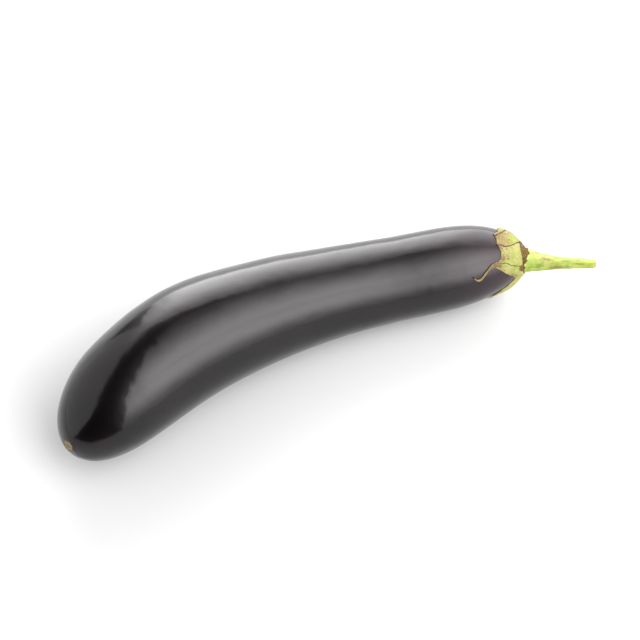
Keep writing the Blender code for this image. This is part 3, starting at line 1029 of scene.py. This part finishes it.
# %% [markdown]
# ## The stem
# The stem is a stiff green stalk: wide where it grows out of the crown, tapering and
# bending a little to one side, with low ribs that run lengthwise, and a blunt end where it
# was cut. It is swept by the same tree as the fruit, with ribs and more unrest. Its root
# reaches in under the calyx so that no gap can show.

# %% Make the stem
STEM_LENGTH = 34.4 * MM
STEM_ROOT = 4.2 * MM
STEM_TIP = 2.0 * MM
STEM_FLARE = 1.7 * MM
STEM_FLARE_LENGTH = 18.0 * MM
STEM_HEADING = radians(-28.3)
STEM_CLIMB = radians(7.0)
STEM_BEND_LENGTH = 17.0 * MM
STEM_BURY = 2.4 * MM
STEM_ASIDE = 0.5 * MM
STEM_ABOVE = 1.5 * MM
# How far back from its end the cut rounds over, and how squarely it does.
CUT_ROUNDING = 1.1 * MM
CUT_FULLNESS = 3.2
# Rings along the stem, and the closer ones over the last stretch next to the cut.
STEM_RINGS = 120
CUT_RINGS = 30
CUT_STRETCH = 1.2 * MM
STEM_SIDES = 72


def stem_line(count):
    """Points of the stem's middle line, which leaves the crown and bends to its own way."""
    forward, side, up = directions_at(FRUIT_LENGTH - STEP)
    point = MIDDLE[-1] - forward * STEM_BURY - side * STEM_ASIDE + up * STEM_ABOVE
    crown_heading = heading(FRUIT_LENGTH)
    step = (STEM_LENGTH + STEM_BURY) / (count - 1)
    line = [point]
    for i in range(count - 1):
        past = (i + 0.5) * step - STEM_BURY
        share = ease(past / STEM_BEND_LENGTH)
        turn = crown_heading + (STEM_HEADING - crown_heading) * share
        climb = STEM_CLIMB * share
        way = np.array([cos(turn) * cos(climb), sin(turn) * cos(climb), sin(climb)])
        line.append(line[-1] + way * step)
    return np.array(line)


def stem_radius(past):
    """Radius at distances past the crown: a taper, a flared root and a blunt cut end."""
    share = np.clip(past / STEM_LENGTH, 0.0, 1.0)
    radius = STEM_ROOT + (STEM_TIP - STEM_ROOT) * share
    flare = np.clip(1.0 - np.maximum(past, 0.0) / STEM_FLARE_LENGTH, 0.0, 1.0)
    radius = radius + STEM_FLARE * flare * flare
    closing = np.clip(1.0 - (STEM_LENGTH - past) / CUT_ROUNDING, 0.0, 1.0)
    return radius * np.sqrt(1.0 - closing ** CUT_FULLNESS)


def make_stem(material):
    fine = stem_line(1200)
    past = np.linspace(-STEM_BURY, STEM_LENGTH, len(fine))
    over_cut = np.cos(np.linspace(0.0, 0.5 * pi, CUT_RINGS + 1))[1:]
    places = np.concatenate([
        np.linspace(-STEM_BURY, STEM_LENGTH - CUT_STRETCH, STEM_RINGS),
        STEM_LENGTH - CUT_STRETCH * over_cut])
    line = np.stack([np.interp(places, past, fine[:, axis]) for axis in range(3)], axis=-1)
    # Both ends close to a point: the root with one more ring just behind it, the cut by itself.
    behind = line[0] - 0.02 * MM * unit(line[1] - line[0])
    radii = np.concatenate([[0.0], stem_radius(places[:-1]), [0.0]])
    stalk = line_object("stem_line", np.vstack([behind, line]), radii)
    return run_tree(stalk, wrapping, "eggplant_stem", Sides=STEM_SIDES, Ribs=5.0,
                    Rib_height=0.16 * MM, Swell_height=0.9 * MM, Swell_length=6.0 * MM,
                    Swells_around=0.9, Seed=11.0, Ground=-1.0, Finish=material)


# %% [markdown]
# ## The stem's finish
# Fresh lime green, yellower towards the tip, with streaks that run lengthwise, tan patches
# where the rind was rubbed, and a ragged brown ring at the root. The knife left a paler face
# with a brown edge. Streaks, patches, ring and cut all follow the stem's own length and
# sides, so the next step works them out there and stores them as masks, which the finish
# reads by name.

# %% The finish of the stem
STEM_GREEN = (0.262, 0.345, 0.040)
STEM_PALE = (0.365, 0.410, 0.098)
STEM_YELLOW = (0.430, 0.470, 0.068)
STEM_RELIEF = ((0.5 * MM, 3.0, 0.60, 0.06 * MM),)


def stem_finish():
    finish = Finish("fresh_stem_rind")
    fine = finish.grain(0.7 * MM, 4.0, 0.65)
    colour = finish.cover(STEM_GREEN, STEM_PALE, finish.grain(3.0 * MM), 0.38, 0.64)
    colour = finish.mix(finish.mask("tip"), colour, STEM_YELLOW)
    colour = finish.cover(colour, LEAF_DEEP, finish.mask("streak"), 0.1, 0.7, 0.55)
    rubbed = finish.frayed("rubbed", fine, 0.3)
    colour = finish.cover(colour, DRY_TAN, rubbed, 0.40, 0.80, 0.85)
    colour = finish.cover(colour, DRY_BROWN, rubbed, 0.92, 1.20, 0.8)
    fleck = finish.flecks(0.85 * MM, 0.7, 3.1 * MM, 0.48, 0.58)
    colour = finish.mix(fleck, colour, LEAF_DEEP)
    ring = finish.frayed("ring", fine, 0.35)
    colour = finish.cover(colour, cork(finish), ring, 0.40, 0.70, 0.96)
    colour = finish.cover(colour, DRY_TAN, finish.frayed("cut", fine, 0.2), 0.35, 0.75, 0.85)
    finish.surface(
        Base_Color=colour,
        Roughness=finish.maths("MAXIMUM", finish.between(rubbed, 0.3, 0.9, 0.42, 0.68),
                               finish.between(ring, 0.3, 0.6, 0.42, 0.85)),
        Normal=finish.relief(STEM_RELIEF),
        Specular_IOR_Level=finish.between(ring, 0.3, 0.6, 0.40, 0.12),
    )
    return finish.material


stem_material = stem_finish()
stem = make_stem(stem_material)
print("stem:", len(stem.data.vertices), "points")

# %% Store the stem's masks and roughen it
# Rubbed patches: (distance past the crown, side as a share of a turn, length, width).
RUBBED = (
    (11.0 * MM, 0.77, 4.4 * MM, 0.050),
    (15.8 * MM, 0.95, 4.6 * MM, 0.060),
    (6.2 * MM, 0.64, 2.0 * MM, 0.040),
    (22.0 * MM, 0.45, 2.4 * MM, 0.050),
    (14.0 * MM, 0.30, 4.0 * MM, 0.070),
)
# The side on which the corky ring climbs furthest up the stem, as a share of a turn.
RING_LONGEST = 0.66
RING_HEIGHT = 0.20 * MM
STREAK_HEIGHT = 0.10 * MM
STREAK_LENGTH = 16.0 * MM
STEM_LUMPS = 0.06 * MM
RUBBED_DEPTH = 0.08 * MM
# How far back from the end the cut face starts, and where the yellow of the tip begins.
CUT_EDGE = 0.8 * MM
YELLOW_FROM = 20.0 * MM


def finish_stem(mesh):
    along = read_mask(mesh, "along") - STEM_BURY
    side = read_mask(mesh, "around")
    points = points_of(mesh)
    turn = 360.0 * side
    streak = shape_of_noise(round_circle(turn, 1.0, along / STREAK_LENGTH), 0.33, 3, seed=4.0)
    ragged = shape_of_noise(round_circle(turn, 1.0, 0.0 * turn), 0.42, 3)
    lumps = shape_of_noise(points, 1.6 * MM, 3, seed=8.0)
    rubbed = np.zeros(len(points))
    for centre, place, length, width in RUBBED:
        off = wrapped(2.0 * pi * (side - place)) / (2.0 * pi * width)
        rubbed = np.maximum(rubbed, bell((along - centre) / length) * bell(off))
    upper = bell(wrapped(2.0 * pi * (side - RING_LONGEST)) / 1.1)
    reached = (0.3 + 1.1 * upper + 1.1 * ragged) * MM
    ring = ease(1.0 - (along - reached) / (0.7 * MM))
    cut = ease((along - (STEM_LENGTH - CUT_EDGE)) / (0.6 * MM))
    rise = STREAK_HEIGHT * streak + STEM_LUMPS * lumps + RING_HEIGHT * ring * (1.0 + lumps)
    rise = (rise - RUBBED_DEPTH * rubbed) * (1.0 - cut)
    move_points(mesh, points + points_of(mesh, "normal") * rise[:, None])
    store_masks(mesh, streak=np.clip(streak, 0.0, 1.0), rubbed=rubbed, ring=ring, cut=cut,
                tip=0.55 * ease((along - YELLOW_FROM) / (12.0 * MM)))
    mesh.shade_smooth()
    face_outwards(mesh)


finish_stem(stem.data)

# %% [markdown]
# ## Hand the pieces to the imported model
# Each piece says which imported node it stands for and which body it rides on. The
# eggplant has no joints, so all of it rides on the root.

# %% Hide the imported nodes and put the pieces on the root
for piece, node, finish_slot in (
    (fruit, "fruit", "skin"),
    (calyx, "calyx", "calyx"),
    (tail, "calyx", "calyx"),
    (stem, "stem", "stem"),
):
    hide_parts(node)
    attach(piece, "root")
    points = points_of(piece.data)
    print(piece.name, "stands for", node, in_mm((points.min(0), points.max(0))))

# %% [markdown]
# ## Floor, light and camera
# A dark glossy thing is drawn by what it reflects. Five soft panels stand round the fruit:
# one behind it draws the bright band along its far flank, a dim broad one carries light
# round the bend, one in front and one overhead meet in a line and draw the wide sheen along
# the near side, and a dim one closes the stem's side. The gaps between them stay dark, and
# draw the black bands on the skin. The floor is a plain grey near the fruit and glows white
# further out, so that it has no edge and a low view shows no horizon.

# %% The floor
FLOOR_GREY = (0.58, 0.58, 0.58)
FLOOR_REACH = 6.0
# How far from the middle the floor starts to glow, and where it is all white.
GLOW_FROM = 0.40
GLOW_FULL = 1.00


def make_floor():
    finish = Finish("pale_floor")
    far = finish.between(finish.distance(), GLOW_FROM, GLOW_FULL)
    finish.surface(
        Base_Color=finish.mix(far, FLOOR_GREY, (0.0, 0.0, 0.0)),
        Roughness=0.9,
        Specular_IOR_Level=0.1,
        Emission_Color=(1.0, 1.0, 1.0),
        Emission_Strength=far,
    )
    mesh = bpy.data.meshes.new("floor")
    corners = [(x * FLOOR_REACH, y * FLOOR_REACH, 0.0)
               for x, y in ((-1, -1), (1, -1), (1, 1), (-1, 1))]
    mesh.from_pydata(corners, [], [(0, 1, 2, 3)])
    mesh.materials.append(finish.material)
    in_scene("floor", mesh)


make_floor()
print("floor reaches", FLOOR_REACH, "m and is white from", GLOW_FULL, "m")

# %% The light panels
# (name, middle, way it faces, its upper side, width, height, brightness); then how bright its
# face is across and upwards, as (share of the way, share of the brightness).
PANELS = (
    ("back_panel", (0.26, 0.46, 0.325), (-0.50, -0.80, -0.30), (0.0, 0.0, 1.0), 1.00, 0.70, 8.4,
     ((0.0, 0.40), (0.36, 0.55), (0.66, 0.92), (0.80, 1.0), (1.0, 0.40)),
     ((0.0, 1.0), (0.45, 1.0), (1.0, 0.32))),
    ("side_panel", (-1.06, 0.56, 0.90), (0.80, -0.42, -0.30), (0.0, 0.0, 1.0), 2.90, 2.10, 1.35,
     ((0.0, 1.0), (1.0, 1.0)), ((0.0, 1.0), (0.90, 1.0), (1.0, 0.40))),
    ("front_panel", (1.13, -1.20, 0.71), (0.0, 1.0, 0.0), (0.0, 0.0, 1.0), 2.20, 1.38, 7.0,
     ((0.0, 0.72), (0.28, 1.0), (0.42, 0.95), (0.62, 0.80), (1.0, 0.72)),
     ((0.0, 0.28), (0.60, 1.0), (1.0, 1.0))),
    ("over_panel", (1.13, -0.26, 1.42), (0.0, 0.0, -1.0), (0.0, 1.0, 0.0), 2.20, 1.88, 7.0,
     ((0.0, 0.75), (0.28, 1.0), (0.42, 0.96), (0.62, 0.82), (1.0, 0.74)),
     ((0.0, 1.0), (0.15, 1.0), (1.0, 0.10))),
    ("right_panel", (2.23, -0.35, 0.71), (-1.0, 0.0, 0.0), (0.0, 0.0, 1.0), 1.60, 1.38, 2.0,
     ((0.0, 1.0), (1.0, 1.0)), ((0.0, 0.60), (0.65, 1.0), (1.0, 1.0))),
)


def fade_panel(light, across, upwards):
    """Makes the light's face brighter and dimmer across its width and its height."""
    light.use_nodes = True
    tree = light.node_tree
    place = tree.nodes.new("ShaderNodeNewGeometry").outputs["Parametric"]
    parts = tree.nodes.new("ShaderNodeSeparateXYZ")
    tree.links.new(place, parts.inputs[0])
    both = tree.nodes.new("ShaderNodeMath")
    both.operation = "MULTIPLY"
    for number, fade in enumerate((across, upwards)):
        change = tree.nodes.new("ShaderNodeValToRGB")
        ramp = change.color_ramp
        ramp.interpolation = "EASE"
        for share, _ in fade[1:-1]:
            ramp.elements.new(share)
        for stop, (_, value) in zip(ramp.elements, fade):
            stop.color = (value, value, value, 1.0)
        tree.links.new(parts.outputs[number], change.inputs["Fac"])
        tree.links.new(change.outputs["Color"], both.inputs[number])
    tree.links.new(both.outputs[0], tree.nodes["Emission"].inputs["Strength"])


def add_panel(name, middle, facing, upper, width, height, brightness, across, upwards):
    back = -Vector(facing).normalized()
    right = Vector(upper).cross(back).normalized()
    light = bpy.data.lights.new(name, "AREA")
    light.shape = "RECTANGLE"
    light.size = width
    light.size_y = height
    light.energy = brightness * width * height * pi
    fade_panel(light, across, upwards)
    panel = in_scene(name, light)
    turn = Matrix((right, back.cross(right), back)).transposed()
    panel.rotation_euler = turn.to_euler()
    panel.location = middle
    panel.visible_camera = False
    print(name, "gives", round(light.energy, 1), "W")


for panel in PANELS:
    add_panel(*panel)

# %% The surroundings and the camera
ROOM_GLOW = 0.03
CAMERA_COMPASS = radians(-22.1)
CAMERA_CLIMB = radians(60.0)
CAMERA_DISTANCE = 0.868
CAMERA_TARGET = Vector((4.6 * MM, 8.0 * MM, 0.0))
# The lens and the width of the sensor behind it, which the camera takes in millimetres.
LENS_LENGTH = 100.0
SENSOR_WIDTH = 36.0


def make_surroundings():
    """A dim even glow; straight views past the floor see plain white."""
    world = bpy.data.worlds.new("studio")
    world.use_nodes = True
    bpy.context.scene.world = world
    tree = world.node_tree
    glow = tree.nodes["Background"]
    white = tree.nodes.new("ShaderNodeBackground")
    for background, strength in ((glow, ROOM_GLOW), (white, 1.0)):
        background.inputs["Color"].default_value = (1.0, 1.0, 1.0, 1.0)
        background.inputs["Strength"].default_value = strength
    rays = tree.nodes.new("ShaderNodeLightPath")
    choose = tree.nodes.new("ShaderNodeMixShader")
    tree.links.new(rays.outputs["Is Camera Ray"], choose.inputs[0])
    tree.links.new(glow.outputs[0], choose.inputs[1])
    tree.links.new(white.outputs[0], choose.inputs[2])
    tree.links.new(choose.outputs[0], tree.nodes["World Output"].inputs["Surface"])


def make_camera():
    back = Vector((sin(CAMERA_COMPASS) * cos(CAMERA_CLIMB),
                   -cos(CAMERA_COMPASS) * cos(CAMERA_CLIMB), sin(CAMERA_CLIMB)))
    lens = bpy.data.cameras.new("camera")
    lens.lens = LENS_LENGTH
    lens.sensor_width = SENSOR_WIDTH
    camera = in_scene("camera", lens)
    camera.location = CAMERA_TARGET + back * CAMERA_DISTANCE
    camera.rotation_euler = back.to_track_quat("Z", "Y").to_euler()
    bpy.context.scene.camera = camera
    print("camera at", [round(value, 3) for value in camera.location], "m")


make_surroundings()
make_camera()
bpy.context.scene.view_settings.view_transform = "Standard"

# %% Bring the scene up to date
bpy.context.view_layer.update()
